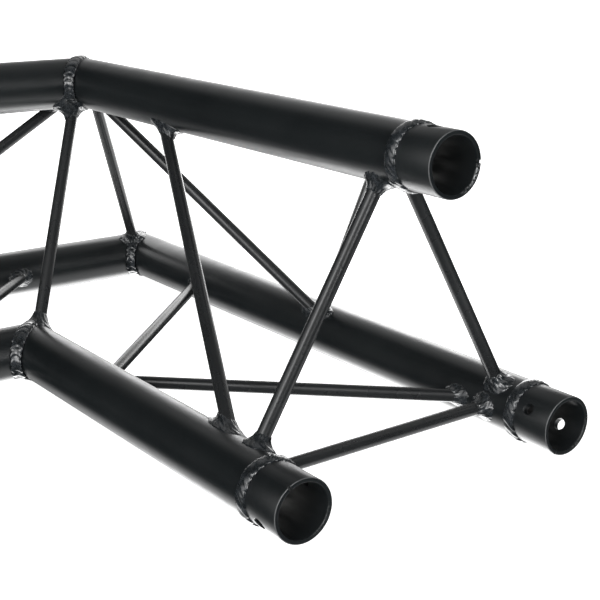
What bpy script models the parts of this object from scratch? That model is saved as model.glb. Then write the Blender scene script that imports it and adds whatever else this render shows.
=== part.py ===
"""Triangular truss, 90 degree two-way corner, welded from aluminium tube and bar.

Frame: metres, +Z up, legs along +X and +Y, apex chord on top, origin at the
centre of the bounding box's base. Three mitred chords run round the corner:
the top one, and below it the inner and the outer one. Each leg ends in three
turned receivers that take conical couplers, and is braced by round bars.
"""
import math

import bmesh
import bpy
from mathutils import Matrix, Vector

# Tubes, bars and the section
CHORD_R = 0.0175
CHORD_BORE_R = 0.0159
BAR_R = 0.004
CENTRES = 0.185
REACH = 0.4925
GAP = 0.0003

# Receiver, measured back from its face
FACE_CHAMFER = 0.0006
MOUTH_R = 0.0150
SOCKET_R = 0.0126
SOCKET_DEPTH = 0.031
COLLAR_LENGTH = 0.0275
SPIGOT_R = 0.0156
RECEIVER_LENGTH = 0.046
PIN_SETBACK = 0.0165
PIN_OUTER_R = 0.0035
PIN_INNER_R = 0.0031
NOTCH_WIDTH = 0.0018
NOTCH_DEPTH = 0.0014

# Welds
CHORD_START = 0.0315
RING_FRONT = 0.0254
RING_BACK = 0.0336
RING_CROWN_R = 0.0192
RING_EDGE_R = 0.0180
MITRE_HALF_WIDTH = 0.0042
MITRE_CROWN = 0.0017
MITRE_EDGE = 0.0006
CORNER_ROUNDING = 0.7

# Facets
ROUND_SIDES = 32
BAR_SIDES = 12
PIN_SIDES = 16

# Places worked out from the sizes above
CROWN_R = CHORD_R + MITRE_CROWN
HALF_SIDE = (REACH + CROWN_R) / 2
BASE_Z = CROWN_R
RISE = CENTRES * math.sqrt(3) / 2
UP = Vector((0, 0, 1))
LEGS = {"x": Vector((1, 0, 0)), "y": Vector((0, 1, 0))}

# Each chord: how far it lies in from the outer chord, and its height
CHORDS = {
    "top": (CENTRES / 2, BASE_Z + RISE),
    "inner": (CENTRES, BASE_Z),
    "outer": (0.0, BASE_Z),
}

# The bars of one leg: name, then chord and distance back from the face, twice
LEG_BARS = [
    ("inner_face_end_strut", "top", 0.0485, "inner", 0.052),
    ("outer_face_end_strut", "top", 0.0455, "outer", 0.049),
    ("bottom_face_end_strut", "inner", 0.049, "outer", 0.052),
    ("inner_face_diagonal", "top", 0.2895, "inner", 0.0575),
    ("outer_face_corner_diagonal", "top", 0.402, "outer", 0.2145),
    ("outer_face_end_diagonal", "outer", 0.239, "top", 0.0555),
    ("bottom_face_corner_diagonal", "outer", 0.3925, "inner", 0.213),
    ("bottom_face_end_diagonal", "inner", 0.2335, "outer", 0.0575),
]

# Bars that sit a little differently from their twins on the other leg
OWN_DISTANCES = {
    "outer_face_corner_diagonal_x": (0.404, 0.203),
    "outer_face_end_diagonal_x": (0.2275, 0.0555),
}

# The struts in the mitre plane: name, then chord and offset along the x leg, twice
MITRE_BARS = [
    ("inner_mitre_strut", "top", 0.005, "inner", -0.003),
    ("outer_mitre_strut", "top", -0.0085, "outer", 0.004),
]


def clear_scene():
    for old in list(bpy.data.objects):
        bpy.data.objects.remove(old, do_unlink=True)


def new_collection(name):
    collection = bpy.data.collections.new(name)
    bpy.context.scene.collection.children.link(collection)
    return collection


def new_material(name, colour, roughness, metallic):
    material = bpy.data.materials.new(name)
    material.use_nodes = True
    shader = material.node_tree.nodes["Principled BSDF"]
    shader.inputs["Base Color"].default_value = (*colour, 1)
    shader.inputs["Roughness"].default_value = roughness
    shader.inputs["Metallic"].default_value = metallic
    material.diffuse_color = (*colour, 1)
    return material


def add_part(name, mesh, look):
    """A node of the object, with a material of its own."""
    colour, roughness, metallic = look
    part = bpy.data.objects.new(name, mesh)
    mesh.materials.append(new_material(name, colour, roughness, metallic))
    PARTS.objects.link(part)
    return part


def add_cutter(name, mesh, place=Matrix()):
    cutter = bpy.data.objects.new(name, mesh)
    cutter.matrix_world = place
    cutter.hide_render = True
    cutter.display_type = "WIRE"
    CUTTERS.objects.link(cutter)
    return cutter


def cut(part, cutter):
    boolean = part.modifiers.new("cut_" + cutter.name, "BOOLEAN")
    boolean.operation = "DIFFERENCE"
    boolean.solver = "EXACT"
    boolean.object = cutter


def mesh_from(bm, name):
    mesh = bpy.data.meshes.new(name)
    bm.to_mesh(mesh)
    bm.free()
    return mesh


def shade_round(mesh):
    mesh.shade_smooth()
    mesh.set_sharp_from_angle(angle=math.radians(35))


def along(direction, origin):
    """Placement whose local Z runs along direction from origin."""
    turn = direction.to_track_quat("Z", "X").to_matrix().to_4x4()
    return Matrix.Translation(origin) @ turn


def corner_of(chord):
    """Where a chord's two axes meet."""
    inset, height = CHORDS[chord]
    side = CROWN_R - HALF_SIDE + inset
    return Vector((side, side, height))


def chord_point(chord, leg, setback):
    """Point on a chord's axis, setback behind the face of its receiver."""
    point = corner_of(chord)
    axis = LEGS[leg]
    return point + axis * (HALF_SIDE - setback - point.dot(axis))


def turned(name, profile, look):
    """Ring turned about local Z. The profile's outer side runs from the front to the back."""
    bm = bmesh.new()
    points = [bm.verts.new((radius, 0, -setback)) for setback, radius in profile]
    for start, end in zip(points, points[1:] + points[:1]):
        bm.edges.new((start, end))
    part = add_part(name, mesh_from(bm, name), look)
    screw = part.modifiers.new("turn", "SCREW")
    screw.steps = ROUND_SIDES
    screw.render_steps = ROUND_SIDES
    screw.use_merge_vertices = True
    screw.merge_threshold = 0.00001
    screw.use_smooth_shade = True
    return part


def cylinder_mesh(name, radius, length, sides, far_radius=None):
    """Cylinder or cone on local Z, from the origin up."""
    bm = bmesh.new()
    bmesh.ops.create_cone(
        bm,
        cap_ends=True,
        segments=sides,
        radius1=radius,
        radius2=radius if far_radius is None else far_radius,
        depth=length,
    )
    bmesh.ops.translate(bm, verts=bm.verts, vec=(0, 0, length / 2))
    return mesh_from(bm, name)


def elbow_mesh(name, radius):
    """Solid mitred elbow round a chord's two legs, drawn out from the ring in the mitre plane."""
    bm = bmesh.new()
    bmesh.ops.create_circle(bm, segments=ROUND_SIDES, radius=radius)
    widen = Matrix.Diagonal((math.sqrt(2), 1, 1, 1))
    stand = Matrix.Rotation(math.radians(90), 4, "X")
    swing = Matrix.Rotation(math.radians(45), 4, "Z")
    bmesh.ops.transform(bm, matrix=swing @ stand @ widen, verts=bm.verts)
    ring = bm.edges[:]
    for axis in LEGS.values():
        drawn = bmesh.ops.extrude_edge_only(bm, edges=ring)["geom"]
        moved = [item for item in drawn if isinstance(item, bmesh.types.BMVert)]
        bmesh.ops.translate(bm, verts=moved, vec=axis * (REACH + CHORD_R))
        rim = [item for item in drawn
               if isinstance(item, bmesh.types.BMEdge) and set(item.verts) <= set(moved)]
        bmesh.ops.edgeloop_fill(bm, edges=rim)
    bmesh.ops.recalc_face_normals(bm, faces=bm.faces)
    return mesh_from(bm, name)


def mitre_block():
    """Half-space beyond the mitre plane of a leg along local Z, as a large box."""
    size = 8 * CHORD_R
    bm = bmesh.new()
    bmesh.ops.create_cube(bm, size=size)
    bmesh.ops.translate(bm, verts=bm.verts, vec=(0, 0, (GAP - size) / 2))
    return mesh_from(bm, "mitre_block")


def make_chord(chord, leg):
    """Tube from the mitre plane to the receiver's shoulder."""
    axis = LEGS[leg]
    corner = corner_of(chord)
    length = chord_point(chord, leg, 0).dot(axis) - corner.dot(axis)
    back = length + 2 * CHORD_R
    profile = [(CHORD_START, CHORD_R), (back, CHORD_R), (back, CHORD_BORE_R), (CHORD_START, CHORD_BORE_R)]
    tube = turned(f"{chord}_chord_{leg}", profile, POWDER_COAT)
    tube.matrix_world = along(axis, chord_point(chord, leg, 0))
    other = LEGS["y" if leg == "x" else "x"]
    place = along((axis - other).normalized(), corner)
    cut(tube, add_cutter(f"mitre_{chord}_{leg}", mitre_block(), place))


def pin_direction(chord, leg):
    """Direction of a receiver's cross pin, away from the section's centroid."""
    middle = sum((chord_point(name, leg, 0) for name in CHORDS), Vector()) / len(CHORDS)
    return (chord_point(chord, leg, 0) - middle).normalized()


def make_receiver(chord, leg):
    """Turned receiver with its tapered socket, cross pin hole and rim notch."""
    axis = LEGS[leg]
    face = chord_point(chord, leg, 0)
    profile = [
        (0, CHORD_R - FACE_CHAMFER),
        (FACE_CHAMFER, CHORD_R),
        (COLLAR_LENGTH, CHORD_R),
        (COLLAR_LENGTH, SPIGOT_R),
        (RECEIVER_LENGTH, SPIGOT_R),
        (RECEIVER_LENGTH, SOCKET_R),
        (SOCKET_DEPTH, SOCKET_R),
        (0, MOUTH_R),
    ]
    name = f"{chord}_receiver_{leg}"
    receiver = turned(name, profile, MACHINED)
    receiver.matrix_world = along(axis, face)

    outward = pin_direction(chord, leg)
    reach = 2 * CHORD_R
    pin = cylinder_mesh("pin_hole", PIN_INNER_R, 2 * reach, PIN_SIDES, PIN_OUTER_R)
    pin_start = chord_point(chord, leg, PIN_SETBACK) - outward * reach
    cut(receiver, add_cutter(f"pin_{name}", pin, along(outward, pin_start)))

    bm = bmesh.new()
    bmesh.ops.create_cube(bm, size=1)
    bmesh.ops.scale(bm, verts=bm.verts, vec=(NOTCH_WIDTH, 2 * NOTCH_DEPTH, CHORD_R))
    notch_way = Matrix.Rotation(-math.pi / 2, 3, axis) @ outward
    turn = Matrix((notch_way.cross(axis), axis, notch_way)).transposed()
    turn.col[0].negate()
    place = Matrix.Translation(face + notch_way * CHORD_R) @ turn.to_4x4()
    cut(receiver, add_cutter(f"notch_{name}", mesh_from(bm, "notch"), place))


def make_receiver_weld(chord, leg):
    """Ring weld that fills the groove between the receiver's shoulder and the chord's end."""
    bed = CHORD_R + GAP
    profile = [
        (RING_FRONT, RING_EDGE_R),
        ((RING_FRONT + RING_BACK) / 2, RING_CROWN_R),
        (RING_BACK, RING_EDGE_R),
        (RING_BACK, bed),
        (CHORD_START - GAP, bed),
        (CHORD_START - GAP, SPIGOT_R + GAP),
        (COLLAR_LENGTH + GAP, SPIGOT_R + GAP),
        (COLLAR_LENGTH + GAP, bed),
        (RING_FRONT, bed),
    ]
    weld = turned(f"{chord}_receiver_weld_{leg}", profile, WELD)
    weld.matrix_world = along(LEGS[leg], chord_point(chord, leg, 0))


def mitre_section(inward):
    """Bead section at one place round the seam: distance past the mitre plane and height on
    the chord. inward runs from -1 on the outside of the corner to 1 on its inside."""
    crown = MITRE_CROWN * (1 - CORNER_ROUNDING * max(0.0, -inward))
    shoulder = (MITRE_CROWN + MITRE_EDGE) / 2
    width = MITRE_HALF_WIDTH
    return [
        (-width, GAP),
        (-width, MITRE_EDGE),
        (-width / 2, shoulder),
        (0, max(crown, 1.5 * GAP)),
        (width / 2, shoulder),
        (width, MITRE_EDGE),
        (width, GAP),
        (0, GAP),
    ]


def make_mitre_weld(chord):
    """Bead round the mitre seam, lofted through sections that change from the sharp outer
    side of the corner to the hollow inner side."""
    bm = bmesh.new()
    loops = []
    for step in range(ROUND_SIDES):
        turn = 2 * math.pi * step / ROUND_SIDES
        loop = []
        for past, height in mitre_section(math.cos(turn)):
            radius = CHORD_R + height
            side = radius * math.cos(turn)
            on_x = side + max(past, 0)
            on_y = side + max(-past, 0)
            loop.append(bm.verts.new((on_x, on_y, radius * math.sin(turn))))
        loops.append(loop)
    for loop, following in zip(loops, loops[1:] + loops[:1]):
        for k, corner in enumerate(loop):
            after = (k + 1) % len(loop)
            bm.faces.new((corner, loop[after], following[after], following[k]))
    bmesh.ops.recalc_face_normals(bm, faces=bm.faces)
    mesh = mesh_from(bm, chord)
    shade_round(mesh)
    weld = add_part(f"{chord}_mitre_weld", mesh, WELD)
    weld.location = corner_of(chord)


def make_bar(name, start, end, cutters):
    """Round bar between two chord axes, coped to both chords."""
    mesh = cylinder_mesh(name, BAR_R, (end - start).length, BAR_SIDES)
    shade_round(mesh)
    bar = add_part(name, mesh, POWDER_COAT)
    bar.matrix_world = along((end - start).normalized(), start)
    for cutter in cutters:
        cut(bar, cutter)


def make_bars():
    copes = {}
    seats = {}
    for chord in CHORDS:
        place = Matrix.Translation(corner_of(chord))
        copes[chord] = add_cutter(f"cope_{chord}", elbow_mesh("cope", CHORD_R + GAP), place)
        seats[chord] = add_cutter(f"seat_{chord}", elbow_mesh("seat", CROWN_R + GAP), place)
    for leg in LEGS:
        for name, first, setback, second, other_setback in LEG_BARS:
            full_name = f"{name}_{leg}"
            distances = OWN_DISTANCES.get(full_name, (setback, other_setback))
            start = chord_point(first, leg, distances[0])
            end = chord_point(second, leg, distances[1])
            make_bar(full_name, start, end, (copes[first], copes[second]))
    across = (LEGS["x"] - LEGS["y"]) / 2
    for name, first, offset, second, other_offset in MITRE_BARS:
        start = corner_of(first) + across * offset
        end = corner_of(second) + across * other_offset
        make_bar(name, start, end, (seats[first], seats[second]))


POWDER_COAT = ((0.016, 0.018, 0.019), 0.34, 0.0)
MACHINED = ((0.018, 0.020, 0.021), 0.28, 0.0)
WELD = ((0.024, 0.027, 0.029), 0.22, 0.0)

clear_scene()
PARTS = new_collection("lighting_truss_corner")
CUTTERS = new_collection("cutters")
for chord_name in CHORDS:
    for leg_name in LEGS:
        make_chord(chord_name, leg_name)
        make_receiver(chord_name, leg_name)
        make_receiver_weld(chord_name, leg_name)
    make_mitre_weld(chord_name)
make_bars()
bpy.context.view_layer.update()
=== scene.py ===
"""Looks of the truss corner: finely turned tubes, receivers and bars in black powder
coat, rippled weld beads and bar-end fillets, on a plain white floor in soft light."""
import math

import bmesh
import bpy
import numpy as np
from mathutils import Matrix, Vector


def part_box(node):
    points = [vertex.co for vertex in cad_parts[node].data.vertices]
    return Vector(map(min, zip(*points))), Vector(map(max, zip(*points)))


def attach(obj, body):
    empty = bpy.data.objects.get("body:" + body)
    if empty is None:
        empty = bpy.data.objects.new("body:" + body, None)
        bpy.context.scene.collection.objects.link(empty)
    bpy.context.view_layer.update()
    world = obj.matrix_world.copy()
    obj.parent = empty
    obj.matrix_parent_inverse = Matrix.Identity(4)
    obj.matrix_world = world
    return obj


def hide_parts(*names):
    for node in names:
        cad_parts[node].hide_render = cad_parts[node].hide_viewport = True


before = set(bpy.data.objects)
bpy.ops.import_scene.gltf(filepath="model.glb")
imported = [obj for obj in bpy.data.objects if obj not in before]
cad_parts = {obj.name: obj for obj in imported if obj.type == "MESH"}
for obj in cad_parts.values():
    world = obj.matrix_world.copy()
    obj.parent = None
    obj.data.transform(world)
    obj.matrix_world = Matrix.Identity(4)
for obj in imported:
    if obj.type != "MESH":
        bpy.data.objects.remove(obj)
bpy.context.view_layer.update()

# Camera, in the row frame
CAMERA_AT = (0.28822, 0.72469, 0.29790)
CAMERA_TURN = (72.861, -0.341, 142.490)
CAMERA_LENS = 78.328
CAMERA_SHIFT = (-0.0667, 0.0250)
SENSOR = 36.0

# Facets of the fine surfaces
ROUND_SIDES = 160
BAR_SIDES = 40
SEAM_STEPS = 720
RING_STEPS = 480
FILLET_STEPS = 132
PIN_SIDES = 64
RING_ACROSS = 19
SEAM_ACROSS = 21

# Sizes that the frame doesn't hold, metres
WALL = 0.0016
BEAD_SINK = 0.0002
FILLET_PITCH = 0.0034

# Each leg's forward way and its sideways way, towards the inside of the corner
UP = np.array((0.0, 0.0, 1.0))
LEGS = {
    "x": (np.array((1.0, 0.0, 0.0)), np.array((0.0, 1.0, 0.0))),
    "y": (np.array((0.0, 1.0, 0.0)), np.array((1.0, 0.0, 0.0))),
}
AXIS = {"x": 0, "y": 1}
CHORDS = ("top", "inner", "outer")
LEG_BARS = (
    "inner_face_end_strut",
    "outer_face_end_strut",
    "bottom_face_end_strut",
    "inner_face_diagonal",
    "outer_face_corner_diagonal",
    "outer_face_end_diagonal",
    "bottom_face_corner_diagonal",
    "bottom_face_end_diagonal",
)
MITRE_BARS = ("inner_mitre_strut", "outer_mitre_strut")


# ---------------------------------------------------------------- the frame's geometry

def centre_of(node):
    """Middle of a node's box."""
    low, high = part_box(node)
    return np.array((low + high) / 2)


def read_chord(chord):
    """Corner where the chord's two axes meet, its radius, and its faces' places."""
    along_x = centre_of(f"{chord}_receiver_x")
    along_y = centre_of(f"{chord}_receiver_y")
    low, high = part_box(f"{chord}_receiver_x")
    return {
        "corner": np.array((along_y[0], along_x[1], along_x[2])),
        "radius": (high.z - low.z) / 2,
        "face": {"x": high.x, "y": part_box(f"{chord}_receiver_y")[1].y},
    }


CHORD = {chord: read_chord(chord) for chord in CHORDS}
RADIUS = CHORD["top"]["radius"]


def face_centre(chord, leg):
    """Centre of a receiver's face."""
    point = CHORD[chord]["corner"].copy()
    point[AXIS[leg]] = CHORD[chord]["face"][leg]
    return point


def reach_of(chord, leg):
    """How far a receiver's face is from the chord's corner."""
    return CHORD[chord]["face"][leg] - CHORD[chord]["corner"][AXIS[leg]]


def setback_of(node, chord, leg):
    """How far back from the receiver's face a node starts and ends."""
    low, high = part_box(node)
    face = CHORD[chord]["face"][leg]
    return face - high[AXIS[leg]], face - low[AXIS[leg]]


def axis_distance(points, chord):
    """Distance from a chord's bent axis, measured in the leg that each point belongs to."""
    local = points - CHORD[chord]["corner"]
    side = np.minimum(local[..., 0], local[..., 1])
    return np.hypot(side, local[..., 2])


# A bar's long facets are at least this share of its largest one; its end caps are smaller
LONG_FACET_SHARE = 0.3


def read_bar(node):
    """A bar's ends and radius, from the long facets of its CAD node."""
    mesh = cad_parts[node].data
    area = np.array([p.area for p in mesh.polygons])
    normal = np.array([p.normal for p in mesh.polygons])
    centre = np.array([p.center for p in mesh.polygons])
    long = area > LONG_FACET_SHARE * area.max()
    normal, centre = normal[long], centre[long]
    axis = np.linalg.svd(normal)[2][2]
    unknowns = np.column_stack([normal, np.ones(len(normal))])
    point = np.linalg.lstsq(unknowns, (normal * centre).sum(1), rcond=None)[0][:3]
    corners = np.array([v.co for v in mesh.vertices]) - point
    reach = corners @ axis
    across = np.linalg.norm(corners - np.outer(reach, axis), axis=1)
    return {
        "start": point + axis * reach.min(),
        "end": point + axis * reach.max(),
        "radius": across.max(),
    }


# ---------------------------------------------------------------- mesh helpers

# Edges are sharp from these angles, in degrees
SHARP_FROM = 38
TURNED_SHARP_FROM = 30
WELD_SHARP_FROM = 60


def turns(count):
    """Equal steps round a full turn, in radians."""
    return np.linspace(0, 2 * np.pi, count, endpoint=False)


def circle(sides, first, second):
    """Unit steps out from a centre, all the way round from first through second."""
    turn = turns(sides)
    return np.multiply.outer(np.cos(turn), first) + np.multiply.outer(np.sin(turn), second)


def noise_rows(count, seed, octaves):
    """Smooth closed noise round a seam, from a few sine waves, about -1 to 1."""
    dice = np.random.default_rng(seed)
    turn = turns(count)
    total = np.zeros(count)
    for waves in octaves:
        total += np.sin(waves * turn + dice.uniform(0, 2 * np.pi)) * dice.uniform(0.6, 1.0)
    return total / len(octaves)


def new_object(name, data):
    made = bpy.data.objects.new(name, data)
    bpy.context.scene.collection.objects.link(made)
    return made


def closed_mesh(name, verts, faces):
    """A closed mesh with its faces pointing out."""
    mesh = bpy.data.meshes.new(name)
    mesh.from_pydata([tuple(v) for v in verts], [], faces)
    bm = bmesh.new()
    bm.from_mesh(mesh)
    bmesh.ops.recalc_face_normals(bm, faces=bm.faces)
    bm.to_mesh(mesh)
    bm.free()
    return mesh


def smooth_shaded(mesh, sharp_from):
    mesh.shade_smooth()
    mesh.set_sharp_from_angle(angle=math.radians(sharp_from))


def new_piece(name, verts, faces, material, slot, sharp_from=SHARP_FROM):
    """A closed piece that rides on the frame."""
    mesh = closed_mesh(name, verts, faces)
    smooth_shaded(mesh, sharp_from)
    mesh.materials.append(material)
    piece = new_object(name, mesh)
    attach(piece, "root")
    return piece


def ring_grid(points):
    """Vertices and quads of a grid that closes on itself both ways."""
    steps, around = points.shape[:2]
    index = np.arange(steps * around).reshape(steps, around)
    down = np.roll(index, -1, axis=0)
    right = np.roll(index, -1, axis=1)
    corner = np.roll(down, -1, axis=1)
    quads = np.stack([index, down, corner, right], axis=-1).reshape(-1, 4)
    return points.reshape(-1, 3), quads.tolist()


def tube_grid(rings):
    """Vertices and faces of a solid drawn through rings, with a cap on the first and last."""
    steps, around = rings.shape[:2]
    index = np.arange(steps * around).reshape(steps, around)
    right = np.roll(index, -1, axis=1)
    quads = np.stack([index[:-1], index[1:], right[1:], right[:-1]], axis=-1).reshape(-1, 4)
    caps = [index[0].tolist(), index[-1][::-1].tolist()]
    return rings.reshape(-1, 3), quads.tolist() + caps


def leg_points(chord, leg, along, side, height):
    """Points in a leg: along from the corner, sideways towards the inside, and up."""
    forward, sideways = LEGS[leg]
    return (CHORD[chord]["corner"]
            + np.multiply.outer(along, forward)
            + np.multiply.outer(side, sideways)
            + np.multiply.outer(height, UP))


def apply_modifiers(piece):
    """Makes what the modifiers show the piece's own mesh."""
    shown = piece.evaluated_get(bpy.context.evaluated_depsgraph_get())
    mesh = bpy.data.meshes.new_from_object(shown)
    piece.modifiers.clear()
    piece.data = mesh


# ---------------------------------------------------------------- materials

# Colours that each coat runs between, from dark to light
CHORD_COLOURS = ((0.0066, 0.0082, 0.009), (0.0094, 0.0114, 0.0122))
# The bars' colours are lighter than the chords' under the same coat: painted light that brightens the
# bars
BAR_LIGHTER_COLOURS = ((0.0125, 0.0135, 0.0142), (0.0175, 0.0188, 0.0196))
TURNED_COLOURS = ((0.007, 0.0086, 0.0094), (0.0105, 0.0124, 0.0132))
WELD_COLOURS = ((0.008, 0.0098, 0.0108), (0.022, 0.0255, 0.029))
# The coat wears thin down the socket, and through to metal on the rim; the socket's lighter colour
# deep down is also painted light that lifts the shade there
SOCKET_THIN_COAT_AND_LIFT_COLOURS = ((0.030, 0.031, 0.031), (0.26, 0.26, 0.255))
METAL_COLOUR = (0.58, 0.59, 0.60)
# What shows of the metal along the outer edge, partly wear and partly a painted highlight, and how
# much the flat face shines
EDGE_WEAR_AND_HIGHLIGHT_SHARE = 0.17
FACE_SPECULAR = 0.05
WELD_SPECULAR = 0.9
# Stretches of a receiver's turned lines and of its socket's streaks, by leg
LINE_STRETCH = {"x": (1.0, 0.04, 0.04), "y": (0.04, 1.0, 0.04)}
STREAK_STRETCH = {"x": (0.25, 1.0, 1.0), "y": (1.0, 0.25, 1.0)}


def new_shader(name, colour, roughness):
    material = bpy.data.materials.new(name)
    material.use_nodes = True
    shader = material.node_tree.nodes["Principled BSDF"]
    shader.inputs["Base Color"].default_value = (*colour, 1)
    shader.inputs["Roughness"].default_value = roughness
    return material, material.node_tree, shader


def add_node(tree, kind, **inputs):
    node = tree.nodes.new(kind)
    for name, value in inputs.items():
        node.inputs[name.replace("_", " ")].default_value = value
    return node


def noise(tree, coordinates, scale, detail=2.0, stretch=None):
    """Noise of scale cells to the metre, drawn out along an axis where stretch is given."""
    source = coordinates
    if stretch is not None:
        mapping = add_node(tree, "ShaderNodeMapping", Scale=stretch)
        tree.links.new(coordinates, mapping.inputs["Vector"])
        source = mapping.outputs["Vector"]
    node = add_node(tree, "ShaderNodeTexNoise", Scale=scale, Detail=detail)
    tree.links.new(source, node.inputs["Vector"])
    return node.outputs["Fac"]


def ranged(tree, value, low, high, start=0.35, stop=0.65):
    """A value spread from low to high."""
    node = add_node(tree, "ShaderNodeMapRange", From_Min=start, From_Max=stop, To_Min=low, To_Max=high)
    tree.links.new(value, node.inputs["Value"])
    return node.outputs["Result"]


def reckoned(tree, operation, first, second):
    """Two values put together by a Math node."""
    node = tree.nodes.new("ShaderNodeMath")
    node.operation = operation
    tree.links.new(first, node.inputs[0])
    tree.links.new(second, node.inputs[1])
    return node.outputs["Value"]


def attribute(tree, name):
    """A value that the mesh holds at each of its points."""
    node = tree.nodes.new("ShaderNodeAttribute")
    node.attribute_name = name
    return node.outputs["Fac"]


def blended(tree, share, first, second):
    """One colour or the other, by a share from 0 to 1."""
    node = tree.nodes.new("ShaderNodeMix")
    node.data_type = "RGBA"
    tree.links.new(share, node.inputs["Factor"])
    for value, name in ((first, "A"), (second, "B")):
        socket = next(s for s in node.inputs if s.name == name and s.type == "RGBA")
        if isinstance(value, tuple):
            socket.default_value = (*value, 1)
        else:
            tree.links.new(value, socket)
    return next(s for s in node.outputs if s.type == "RGBA")


def bumped(tree, shader, heights):
    """Stacks bumps, each a height, its strength and its depth in metres."""
    normal = None
    for height, strength, depth in heights:
        bump = add_node(tree, "ShaderNodeBump", Strength=strength, Distance=depth)
        tree.links.new(height, bump.inputs["Height"])
        if normal is not None:
            tree.links.new(normal, bump.inputs["Normal"])
        normal = bump.outputs["Normal"]
    tree.links.new(normal, shader.inputs["Normal"])


def object_coordinates(tree):
    return tree.nodes.new("ShaderNodeTexCoord").outputs["Object"]


def make_powder_coat(name, dark, light, smoothest, roughest, grain):
    """Satin black powder coat: fine grain over a faint orange peel, uneven in tone and gloss."""
    material, tree, shader = new_shader(name, light, roughest)
    place = object_coordinates(tree)
    tone = ranged(tree, noise(tree, place, 14, 3), 0, 1)
    colour = blended(tree, tone, dark, light)
    tree.links.new(colour, shader.inputs["Base Color"])
    gloss = ranged(tree, noise(tree, place, 60, 4), smoothest, roughest)
    tree.links.new(gloss, shader.inputs["Roughness"])
    bumped(tree, shader, [
        (noise(tree, place, 330, 2), 0.35, 0.00006),
        (noise(tree, place, 1100, 2), grain, 0.00005),
    ])
    return material


def make_receiver_coat(leg):
    """The same coat over a turned surface, with fine lines round it and bare metal at the rim, a
    socket coloured lighter with depth as painted light against its shade, and a painted highlight
    mixed into the worn outer edge.
    """
    material, tree, shader = new_shader(f"turned_receiver_{leg}", TURNED_COLOURS[0], 0.34)
    place = object_coordinates(tree)
    lines = noise(tree, place, 2600, 3, LINE_STRETCH[leg])
    tone = ranged(tree, noise(tree, place, 22, 3), 0, 1)
    coat = blended(tree, tone, *TURNED_COLOURS)
    # Painted light: the socket's colour grows lighter and streaked deep down, lifting the shade inside
    # it
    streaks = noise(tree, place, 120, 3, STREAK_STRETCH[leg])
    thin_coat_and_painted_light = blended(tree, ranged(tree, streaks, 0, 1), *SOCKET_THIN_COAT_AND_LIFT_COLOURS)
    depth = attribute(tree, "bore")
    deep = reckoned(tree, "MULTIPLY", depth, reckoned(tree, "MULTIPLY", depth, depth))
    coat = blended(tree, deep, coat, thin_coat_and_painted_light)
    patches = ranged(tree, noise(tree, place, 55, 2), 0.3, 1, 0.45, 0.58)
    fine = ranged(tree, noise(tree, place, 900, 4), 0, 1, 0.44, 0.56)
    specks = reckoned(tree, "MULTIPLY", patches, fine)
    specks = reckoned(tree, "MULTIPLY", attribute(tree, "wear"), specks)
    # The outer edge's lighter metal colour is partly worn metal, partly a painted highlight along the
    # edge
    edge = ranged(tree, attribute(tree, "edge"), 0, EDGE_WEAR_AND_HIGHLIGHT_SHARE, 0, 1)
    share = reckoned(tree, "MAXIMUM", specks, edge)
    tree.links.new(blended(tree, share, coat, METAL_COLOUR), shader.inputs["Base Color"])
    sheen = ranged(tree, attribute(tree, "rim"), 0.5, FACE_SPECULAR, 0, 1)
    tree.links.new(sheen, shader.inputs["Specular IOR Level"])
    tree.links.new(share, shader.inputs["Metallic"])
    tree.links.new(ranged(tree, lines, 0.30, 0.40), shader.inputs["Roughness"])
    bumped(tree, shader, [(lines, 0.5, 0.00003), (noise(tree, place, 1300, 2), 0.35, 0.00003)])
    return material


def make_weld_coat():
    """The coat over weld metal: glossier, and a little lighter in patches."""
    material, tree, shader = new_shader("weld_bead", WELD_COLOURS[0], 0.24)
    place = object_coordinates(tree)
    tone = ranged(tree, noise(tree, place, 240, 3), 0, 1)
    colour = blended(tree, tone, *WELD_COLOURS)
    tree.links.new(colour, shader.inputs["Base Color"])
    tree.links.new(ranged(tree, noise(tree, place, 420, 3), 0.16, 0.30), shader.inputs["Roughness"])
    shader.inputs["Specular IOR Level"].default_value = WELD_SPECULAR
    bumped(tree, shader, [
        (noise(tree, place, 300, 2), 0.26, 0.00010),
        (noise(tree, place, 1400, 2), 0.3, 0.00003),
    ])
    return material


# ---------------------------------------------------------------- chord tubes

def make_chord_tube(chord, leg, material):
    """Tube from its mitred end to the shoulder of the receiver weld."""
    node = f"{chord}_chord_{leg}"
    front, _ = setback_of(node, chord, leg)
    length = reach_of(chord, leg) - front
    turn = turns(ROUND_SIDES)
    bore = RADIUS - WALL
    rings = []
    for radius, end in ((RADIUS, "far"), (RADIUS, "mitre"), (bore, "mitre"), (bore, "far")):
        side, height = radius * np.cos(turn), radius * np.sin(turn)
        along = np.full(ROUND_SIDES, length) if end == "far" else side + BEAD_SINK
        rings.append(leg_points(chord, leg, along, side, height))
    verts, faces = ring_grid(np.array(rings))
    tube = new_piece(f"tube_{chord}_{leg}", verts, faces, material, "powder_coat")
    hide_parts(node)


# ---------------------------------------------------------------- receivers

PIN_SETBACK = 0.0165
PIN_OUTER_R = 0.0035
PIN_INNER_R = 0.0031
COUNTERSINK = 0.0006
NOTCH_WIDTH = 0.0018
NOTCH_DEPTH = 0.0014
SOCKET_DEPTH = 0.0308
# How far the cutting shapes reach from the axis, in radii
PIN_REACH = 1.3
NOTCH_REACH = (0.6, 1.2)
# Where the coat is worn: a band on the rim that fades out down the socket and to each side
WORN_R = 0.0151
WORN_HALF_WIDTH = 0.0009
WORN_DEPTH = 0.0010
# Bounds of the socket, the flat face and the rounded outer edge
SOCKET_MOUTH_R = 0.01535
FACE_DEPTH = 0.0001
EDGE_R = 0.0172
EDGE_DEPTH = 0.0004
# Coupler rubs on the low outer side: shares of sideways and up, gain and threshold, and by chord
RUBBED_SIDE = 1.15
RUBBED_LOW = 0.8
RUBBED_GAIN = 4
RUBBED_START = 4.2
WEAR = {"top": 1.0, "inner": 0.2, "outer": 0.2}
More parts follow.
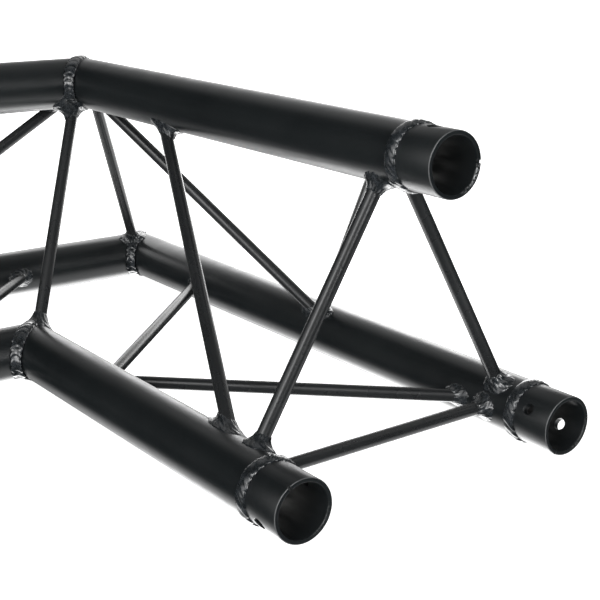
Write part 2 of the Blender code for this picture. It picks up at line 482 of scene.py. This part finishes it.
# Turned profile: setback from the face, and radius, down the outside and back up the socket
RECEIVER_PROFILE = (
    (0.0, 0.01698),
    (0.00008, 0.01722),
    (0.00024, 0.01740),
    (0.00052, 0.0175),
    (0.0275, 0.0175),
    (0.0275, 0.0156),
    (0.0455, 0.0156),
    (0.0460, 0.0151),
    (0.0460, 0.0126),
    (0.0314, 0.0126),
    (SOCKET_DEPTH, 0.01263),
    (0.0022, 0.01483),
    (0.0013, 0.0149),
    (0.00075, 0.01494),
    (0.00035, 0.01502),
    (0.0001, 0.01518),
    (0.0, 0.01540),
)


def lathe(profile, origin, axis, across, up, sides):
    """Points turned about an axis: one ring for each place along it and radius."""
    around = circle(sides, across, up)
    return np.array([origin + axis * along + around * radius for along, radius in profile])


def pin_direction(chord, leg):
    """A cross pin's direction, away from the section's centroid."""
    middle = sum(face_centre(name, leg) for name in CHORDS) / len(CHORDS)
    out = face_centre(chord, leg) - middle
    return out / np.linalg.norm(out)


def cutter(name, verts, faces):
    return new_object(name, closed_mesh(name, verts, faces))


def cut_away(piece, tools):
    """Takes the tools out of the piece, and then removes them."""
    for tool in tools:
        boolean = piece.modifiers.new(tool.name, "BOOLEAN")
        boolean.operation = "DIFFERENCE"
        boolean.solver = "EXACT"
        boolean.object = tool
    apply_modifiers(piece)
    for tool in tools:
        bpy.data.objects.remove(tool, do_unlink=True)


def pin_cutter(chord, leg):
    """Tapered pin with a countersink where it leaves the collar on each side."""
    out = pin_direction(chord, leg)
    forward = LEGS[leg][0]
    middle = face_centre(chord, leg) - forward * PIN_SETBACK
    reach = RADIUS * PIN_REACH
    sink = RADIUS - COUNTERSINK
    profile = [
        (-reach, PIN_INNER_R + reach - sink),
        (-sink, PIN_INNER_R),
        (sink, PIN_OUTER_R),
        (reach, PIN_OUTER_R + reach - sink),
    ]
    rings = lathe(profile, middle, out, forward, np.cross(out, forward), PIN_SIDES)
    return cutter("pin_cutter", *tube_grid(rings))


def notch_cutter(chord, leg):
    """Small slot through the rim, a quarter turn from the pin hole."""
    forward = LEGS[leg][0]
    out = pin_direction(chord, leg)
    way = np.cross(out, forward)
    face = face_centre(chord, leg)
    half = NOTCH_WIDTH / 2
    corners = ((-half, -NOTCH_DEPTH), (half, -NOTCH_DEPTH), (half, NOTCH_DEPTH), (-half, NOTCH_DEPTH))
    rings = []
    for reach in NOTCH_REACH:
        base = face + way * (RADIUS * reach)
        rings.append([base + out * a + forward * b for a, b in corners])
    return cutter("notch_cutter", *tube_grid(np.array(rings)))


def mark_receiver(mesh, chord, leg):
    """Gives each point its shares of wear, socket, flat face and edge, for the coat to read."""
    forward, sideways = LEGS[leg]
    points = np.array([v.co for v in mesh.vertices]) - face_centre(chord, leg)
    setback = -points @ forward
    radius = np.linalg.norm(points + np.outer(setback, forward), axis=1)
    band = np.clip(1 - setback / WORN_DEPTH, 0, 1)
    band = band * np.clip(1 - np.abs(radius - WORN_R) / WORN_HALF_WIDTH, 0, 1)
    rubbed = (-RUBBED_SIDE * points @ sideways - RUBBED_LOW * points @ UP) / radius
    shares = {
        "wear": band * np.clip(rubbed * RUBBED_GAIN - RUBBED_START, 0, 1) * WEAR[chord],
        "bore": np.clip(setback / SOCKET_DEPTH, 0, 1) * (radius < SOCKET_MOUTH_R),
        "rim": np.clip(1 - setback / FACE_DEPTH, 0, 1),
        "edge": (setback < EDGE_DEPTH) * (radius > EDGE_R),
    }
    for name, share in shares.items():
        held = mesh.attributes.new(name, "FLOAT", "POINT")
        held.data.foreach_set("value", share.astype(np.float32))


def make_receiver(chord, leg, material):
    """Turned receiver with its tapered socket, cross pin hole and rim notch."""
    forward, sideways = LEGS[leg]
    face = face_centre(chord, leg)
    profile = [(-setback, radius) for setback, radius in RECEIVER_PROFILE]
    rings = lathe(profile, face, forward, sideways, UP, ROUND_SIDES)
    receiver = new_piece(f"socket_{chord}_{leg}", *ring_grid(rings), material, "turned_receiver",
                         TURNED_SHARP_FROM)
    cut_away(receiver, [pin_cutter(chord, leg), notch_cutter(chord, leg)])
    smooth_shaded(receiver.data, TURNED_SHARP_FROM)
    mark_receiver(receiver.data, chord, leg)
    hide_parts(f"{chord}_receiver_{leg}")


# ---------------------------------------------------------------- weld beads

# Each kind of bead, in metres, and by how many ripples its lines bow and slant across it
RING_BEAD = {"pitch": 0.0047, "crown": 0.00155, "ripple": 0.00030, "bow": 0.25, "slant": -0.75}
SEAM_BEAD = {"pitch": 0.0053, "crown": 0.00155, "ripple": 0.00031, "bow": 0.42, "slant": 0.0}
SEAM_HALF_WIDTH = 0.0050
# Rounding between the two tubes across the seam: outside the corner, and what its inside adds
SEAM_ROUNDING = 0.0018
SEAM_FILLET = 0.0011
RING_WANDER = 0.0003
ROOT_INSET = 0.0005
# Share of a coin that rises, and how much coins and lumps change a bead's height and width
RISE_SHARE = 0.3
PITCH_DRIFT = 0.3
LUMP_HEIGHT = 0.12
LUMP_WIDTH = 0.05
COIN_WIDTH = 0.12
COIN_MIDDLE = 0.55


def ripple(phase):
    """Overlapping coins of a weld, 0 to 1: each rises steeply and slopes away to the next."""
    part = phase - np.floor(phase)
    rise = np.clip(part / RISE_SHARE, 0, 1)
    fall = np.clip((1 - part) / (1 - RISE_SHARE), 0, 1)
    return np.minimum(rise * rise * (3 - 2 * rise), fall * (2 - fall))


def across_bead(count):
    """Places across a bead from toe to toe, -1 to 1, closer together at the toes."""
    return np.sin(np.linspace(-1, 1, count) * np.pi / 2)


def at_toes(across):
    """Whether a place across a bead is at one of its edges."""
    return np.abs(across) > 0.999


def bead_heights(travel, total, across, seed, bead):
    """Bead height over the surface at each step of travel, and at each place across from
    -1 to 1, with how much wider or narrower the bead is at each step."""
    drift = noise_rows(len(travel), seed, (2, 3, 5)) * PITCH_DRIFT
    lumps = noise_rows(len(travel), seed + 1, (5, 9, 14, 22))
    phase = (travel / total * round(total / bead["pitch"]) + drift)[:, None]
    phase = phase + (bead["bow"] * across ** 2 + bead["slant"] * across)[None, :]
    dome = np.sqrt(np.clip(1 - across ** 2, 0, 1))[None, :]
    coin = ripple(phase)
    height = bead["crown"] * dome * (1 + LUMP_HEIGHT * lumps[:, None])
    height += bead["ripple"] * (coin - COIN_MIDDLE) * dome ** 0.8
    width = 1 + COIN_WIDTH * (coin[:, 0] - 0.5) + LUMP_WIDTH * lumps
    return height, width


def make_receiver_weld(chord, leg, material):
    """Ring bead between receiver and chord, rippled all the way round."""
    node = f"{chord}_receiver_weld_{leg}"
    front, back = setback_of(node, chord, leg)
    middle, half = (front + back) / 2, (back - front) / 2
    seed = 11 + 7 * CHORDS.index(chord) + 3 * AXIS[leg]
    turn = turns(RING_STEPS)
    around = 2 * np.pi * RADIUS
    across = across_bead(RING_ACROSS)
    height, width = bead_heights(turn * RADIUS, around, across, seed, RING_BEAD)
    wander = noise_rows(RING_STEPS, seed + 2, (2, 5, 8)) * RING_WANDER
    radius = RADIUS + height - BEAD_SINK * at_toes(across)
    along = middle - wander[:, None] + half * across[None, :] * width[:, None]
    inside = np.full((RING_STEPS, 1), RADIUS - WALL / 2)
    radius = np.hstack([inside, radius, inside])
    along = np.hstack([along[:, :1] + ROOT_INSET, along, along[:, -1:] - ROOT_INSET])
    side = radius * np.cos(turn)[:, None]
    rise = radius * np.sin(turn)[:, None]
    points = leg_points(chord, leg, reach_of(chord, leg) - along, side, rise)
    weld = new_piece(f"ring_weld_{chord}_{leg}", *ring_grid(points), material, "weld_bead",
                     WELD_SHARP_FROM)
    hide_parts(node)


def make_mitre_weld(chord, material):
    """Bead along the mitre seam: a rounded cap on the outside of the corner, which turns
    into a fillet on its inside."""
    seed = 41 + 5 * CHORDS.index(chord)
    turn = turns(SEAM_STEPS)
    inward = np.cos(turn)
    stretch = np.sqrt(1 + np.sin(turn) ** 2)
    step = RADIUS * stretch * 2 * np.pi / SEAM_STEPS
    travel = np.cumsum(step)
    across = across_bead(SEAM_ACROSS)
    height, width = bead_heights(travel, travel[-1], across, seed, SEAM_BEAD)
    past = SEAM_HALF_WIDTH * (stretch * width)[:, None] * across[None, :]
    blend = (SEAM_ROUNDING + SEAM_FILLET * (1 + inward))[:, None]
    height = height - BEAD_SINK * at_toes(across)
    on_x = (past + np.sqrt(past ** 2 + blend ** 2)) / 2
    on_y = (-past + np.sqrt(past ** 2 + blend ** 2)) / 2
    radius = RADIUS + height
    inner = RADIUS - WALL / 2
    side = radius * inward[:, None]
    x, y, z = side + on_x, side + on_y, radius * np.sin(turn)[:, None]
    low_side = inner * inward[:, None]
    low_z = inner * np.sin(turn)[:, None]
    first_x, first_y = low_side + on_x[:, :1], low_side + on_y[:, :1]
    last_x, last_y = low_side + on_x[:, -1:], low_side + on_y[:, -1:]
    x = np.hstack([first_x, x, last_x, low_side])
    y = np.hstack([first_y, y, last_y, low_side])
    z = np.hstack([low_z, z, low_z, low_z])
    points = CHORD[chord]["corner"] + np.stack([x, y, z], axis=-1)
    weld = new_piece(f"seam_weld_{chord}", *ring_grid(points), material, "weld_bead",
                     WELD_SHARP_FROM)
    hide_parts(f"{chord}_mitre_weld")


# ---------------------------------------------------------------- bars and their fillets

# A bar's end is found from a point this far short of its tip, by halving a stretch of its axis
STANDOFF = 0.045
SEARCH_BACK = 0.06
HALVINGS = 36
AXIS_STEPS = 1801


def surface_along(origins, direction, chord, inside_at):
    """How far along direction each line from origins first meets a chord's surface."""
    low = np.full(origins.shape[:-1], inside_at - SEARCH_BACK)
    high = np.full(origins.shape[:-1], inside_at)
    for _ in range(HALVINGS):
        middle = (low + high) / 2
        outside = axis_distance(origins + middle[..., None] * direction, chord) > RADIUS
        low = np.where(outside, middle, low)
        high = np.where(outside, high, middle)
    return (low + high) / 2


def nearest_along(origin, direction, chord):
    """Where along a bar's axis it passes nearest to a chord's axis."""
    steps = np.linspace(0, 2 * STANDOFF, AXIS_STEPS)
    distance = axis_distance(origin + np.multiply.outer(steps, direction), chord)
    return steps[distance.argmin()]


def bar_end(bar, end):
    """One end of a bar: a point short of it, the way out, the chord it meets and where."""
    tip, far = (bar["end"], bar["start"]) if end else (bar["start"], bar["end"])
    direction = (tip - far) / np.linalg.norm(tip - far)
    chord = min(CHORDS, key=lambda name: axis_distance(tip, name))
    origin = tip - direction * STANDOFF
    return origin, direction, chord, nearest_along(origin, direction, chord)


def cross_axes(direction, towards):
    """Two axes across a bar, the first as near as it can be to towards."""
    first = towards - direction * (towards @ direction)
    first = first / np.linalg.norm(first)
    return first, np.cross(direction, first)


def make_bar(name, bar, material):
    """Round bar coped to the chords' surfaces."""
    axis = (bar["end"] - bar["start"]) / np.linalg.norm(bar["end"] - bar["start"])
    around = circle(BAR_SIDES, *cross_axes(axis, UP + 0.1))
    rings = []
    for end in (0, 1):
        origin, direction, chord, inside_at = bar_end(bar, end)
        starts = origin + around * bar["radius"]
        reach = surface_along(starts, direction, chord, inside_at)
        rings.append(starts + reach[:, None] * direction)
    piece = new_piece(f"bar_{name}", *tube_grid(np.array(rings)), material, "powder_coat")
    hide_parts(name)


# Fillet section, from the toe on the bar to the toe on the chord: share of the leg out from
# the bar, and share of the height up from the chord
FILLET_SECTION = (
    (-0.06, 1.05),
    (0.03, 1.02),
    (0.08, 0.94),
    (0.13, 0.82),
    (0.19, 0.69),
    (0.27, 0.56),
    (0.36, 0.45),
    (0.46, 0.36),
    (0.57, 0.285),
    (0.68, 0.225),
    (0.78, 0.175),
    (0.87, 0.13),
    (0.94, 0.08),
    (0.985, 0.03),
    (1.0, -0.03),
)


# Height of a fillet's ripples, and how many of them its lines drift by from bar to chord
FILLET_RIPPLE = 0.00042
FILLET_FAN = 1.7
# How much lumps and coins change a fillet's leg and its height
LEG_LUMP = 0.18
LEG_COIN = 0.10
TALL_LUMP = 0.14
TALL_COIN = 0.07
# Shares of a ripple that stand out from the bar and up from the chord
SWELL_OUT = 0.75
SWELL_UP = 0.65
# The fillet's hidden root lies inside the bar, at this share of its radius
ROOT_SHARE = 0.8


def make_fillet(name, bar, end, leg_length, height, stretch, stretch_way, seed, material):
    """Weld round one end of a bar, laid as overlapping ripples that fan out round it."""
    origin, direction, chord, inside_at = bar_end(bar, end)
    turn = turns(FILLET_STEPS)
    around = circle(FILLET_STEPS, *cross_axes(direction, stretch_way))
    lumps = noise_rows(FILLET_STEPS, seed, (2, 3, 5, 7))
    taller = noise_rows(FILLET_STEPS, seed + 1, (1, 3, 4, 6))
    section = np.array(FILLET_SECTION)
    out_share, up_share = section[:, 0], section[:, 1]
    ripples = max(6, round(2 * np.pi * (bar["radius"] + leg_length * 0.5) / FILLET_PITCH))
    drift = noise_rows(FILLET_STEPS, seed + 2, (1, 2, 3)) * PITCH_DRIFT
    phase = turn[:, None] / (2 * np.pi) * ripples + drift[:, None] + FILLET_FAN * out_share[None, :]
    coin = ripple(phase) - 0.5
    body = np.clip(4 * out_share * (1 - out_share), 0, 1) ** 0.5
    towards = np.clip(np.cos(turn), 0, 1) ** 2
    legs = leg_length * (1 + LEG_LUMP * lumps + stretch * towards + LEG_COIN * coin[:, -2])
    tall = height * (1 + TALL_LUMP * taller + TALL_COIN * coin[:, 2])
    spread = legs[:, None] * out_share[None, :]
    rise = tall[:, None] * up_share[None, :]
    swell = FILLET_RIPPLE * coin * body[None, :]
    distance = bar["radius"] + spread + swell * SWELL_OUT
    starts = origin + around[:, None, :] * distance[..., None]
    reach = surface_along(starts, direction, chord, inside_at)
    points = starts + (reach - rise - swell * SWELL_UP)[..., None] * direction
    hidden = origin + around * bar["radius"] * ROOT_SHARE
    hidden = hidden + surface_along(hidden, direction, chord, inside_at)[:, None] * direction
    high = hidden - direction * height
    points = np.concatenate([high[:, None, :], points, hidden[:, None, :]], axis=1)
    new_piece(name, *ring_grid(points), material, "weld_bead", WELD_SHARP_FROM)


def fillet_shape(kind, leg, chord):
    """A bar-end weld's leg and height, how much longer the leg is to one side, and which."""
    sideways = UP + 0.2
    if leg is None:
        if kind == "inner_mitre_strut" and chord == "top":
            return 0.0072, 0.0090, 0.9, np.array((1.0, 1.0, 0.0))
        return 0.0066, 0.0076, 0.0, sideways
    forward = LEGS[leg][0]
    if kind.endswith("end_strut"):
        return 0.0046, 0.0062, 0.3 if kind.startswith("bottom") else 0.7, forward
    if kind == "inner_face_diagonal":
        return 0.0042, 0.0082, 0.8, forward if chord == "top" else -forward
    if chord == "outer":
        return 0.0034, 0.0048, 0.0, sideways
    return 0.0046, 0.0062, 0.0, sideways


def make_bars(bar_material, weld_material):
    """Every bar, with a fillet weld round each of its ends."""
    plan = [(f"{name}_{leg}", name, leg) for leg in LEGS for name in LEG_BARS]
    plan += [(name, name, None) for name in MITRE_BARS]
    for number, (node, kind, leg) in enumerate(plan):
        bar = read_bar(node)
        make_bar(node, bar, bar_material)
        for end in (0, 1):
            _, _, chord, _ = bar_end(bar, end)
            shape = fillet_shape(kind, leg, chord)
            seed = 100 + 10 * number + 5 * end
            make_fillet(f"fillet_{node}_{end + 1}", bar, end, *shape, seed, weld_material)


# ---------------------------------------------------------------- the studio

FLOOR_HALF = 30
FLOOR_GLOW = 1.02
# Flat lights: name, middle, the point it faces, size, brightness, and whether only shine shows it
PANELS = (
    ("left_wall_foot", (-0.225, -0.356, 0.04), (0.358, 0.457, 0.04), (0.35, 0.08), 0.84, False),
    ("left_wall", (-0.225, -0.356, 0.12), (0.358, 0.457, 0.12), (0.35, 0.08), 2.29, False),
    ("right_wall", (-0.509, -0.152, 0.12), (0.074, 0.661, 0.12), (0.35, 0.08), 3.54, False),
    ("table", (-0.65, -0.325, -0.003), (-0.65, -0.325, 1), (0.7, 0.45), 1.66, True),
)


def add_panel(name, middle, aim, size, brightness, glossy_only):
    """Flat soft light that the camera doesn't see, by the brightness of its face."""
    data = bpy.data.lights.new(name, "AREA")
    data.shape = "RECTANGLE"
    data.size, data.size_y = size
    data.energy = brightness * size[0] * size[1] * math.pi
    lamp = new_object(name, data)
    lamp.location = middle
    lamp.rotation_euler = (Vector(aim) - Vector(middle)).to_track_quat("-Z", "Y").to_euler()
    lamp.visible_camera = False
    lamp.visible_diffuse = not glossy_only


def make_floor():
    """Plain white floor, with a glow of its own that keeps it white far out."""
    mesh = bpy.data.meshes.new("floor")
    bm = bmesh.new()
    bmesh.ops.create_grid(bm, x_segments=1, y_segments=1, size=FLOOR_HALF)
    bm.to_mesh(mesh)
    bm.free()
    floor = new_object("floor", mesh)
    material, _, shader = new_shader("floor", (0.92, 0.92, 0.92), 0.9)
    shader.inputs["Specular IOR Level"].default_value = 0.0
    shader.inputs["Emission Color"].default_value = (1, 1, 1, 1)
    shader.inputs["Emission Strength"].default_value = FLOOR_GLOW
    mesh.materials.append(material)
    floor.visible_glossy = False


# Soft glows of the studio: the way to each, its half-width in degrees, and its strength
GLOWS = (
    ((-0.577, -0.805, 0.139), 22, 1.14),
    ((-0.818, -0.559, 0.139), 22, 1.15),
    ((-0.334, -0.466, -0.819), 32, 5.62),
    ((0.093, -0.566, -0.819), 32, 2.25),
    ((-0.522, 0.375, -0.766), 36, 1.55),
    ((0.447, 0.622, 0.643), 36, 0.81),
    ((-0.292, -0.406, 0.866), 32, 0.36),
    ((-0.306, -0.81, 0.5), 26, 0.38),
    ((0.961, -0.095, 0.259), 36, 1.66),
    ((-0.784, 0.078, 0.616), 34, 0.62),
    ((0.011, 0.94, 0.342), 15, 13.79),
    ((0.887, 0.311, 0.342), 15, 5.06),
    ((0.744, 0.261, 0.616), 15, 5.73),
    ((-0.582, -0.811, -0.07), 14, 3.24),
)


def make_world():
    """Dark room with soft glows in it, by the way that the light comes from."""
    world = bpy.data.worlds.new("studio")
    bpy.context.scene.world = world
    world.use_nodes = True
    tree = world.node_tree
    way = tree.nodes.new("ShaderNodeTexCoord").outputs["Generated"]
    total = None
    for towards, half_width, strength in GLOWS:
        dot = tree.nodes.new("ShaderNodeVectorMath")
        dot.operation = "DOT_PRODUCT"
        tree.links.new(way, dot.inputs[0])
        dot.inputs[1].default_value = Vector(towards).normalized()
        glow = tree.nodes.new("ShaderNodeMapRange")
        glow.interpolation_type = "SMOOTHSTEP"
        glow.inputs["From Min"].default_value = math.cos(math.radians(half_width))
        glow.inputs["From Max"].default_value = 1
        glow.inputs["To Min"].default_value = 0
        glow.inputs["To Max"].default_value = strength
        tree.links.new(dot.outputs["Value"], glow.inputs["Value"])
        shown = glow.outputs["Result"]
        total = shown if total is None else reckoned(tree, "ADD", shown, total)
    tree.nodes["Background"].inputs["Color"].default_value = (1, 1, 1, 1)
    tree.links.new(total, tree.nodes["Background"].inputs["Strength"])


def make_camera():
    data = bpy.data.cameras.new("camera")
    data.lens = CAMERA_LENS
    data.sensor_width = SENSOR
    data.shift_x, data.shift_y = CAMERA_SHIFT
    data.clip_end = 100
    camera = new_object("camera", data)
    camera.location = CAMERA_AT
    camera.rotation_euler = [math.radians(angle) for angle in CAMERA_TURN]
    bpy.context.scene.camera = camera


powder_coat = make_powder_coat("powder_coat", *CHORD_COLOURS, 0.28, 0.34, 0.5)
# The bars' coat is a lighter copy of the chords' coat: painted light
bar_coat_painted_lighter = make_powder_coat("bar_coat_painted_lighter", *BAR_LIGHTER_COLOURS, 0.24, 0.30, 0.9)
weld_coat = make_weld_coat()
receiver_coat = {leg: make_receiver_coat(leg) for leg in LEGS}
for chord_name in CHORDS:
    for leg_name in LEGS:
        make_chord_tube(chord_name, leg_name, powder_coat)
        make_receiver(chord_name, leg_name, receiver_coat[leg_name])
        make_receiver_weld(chord_name, leg_name, weld_coat)
    make_mitre_weld(chord_name, weld_coat)
make_bars(bar_coat_painted_lighter, weld_coat)

make_floor()
make_world()
make_camera()
for panel in PANELS:
    add_panel(*panel)
bpy.context.scene.view_settings.view_transform = "Standard"
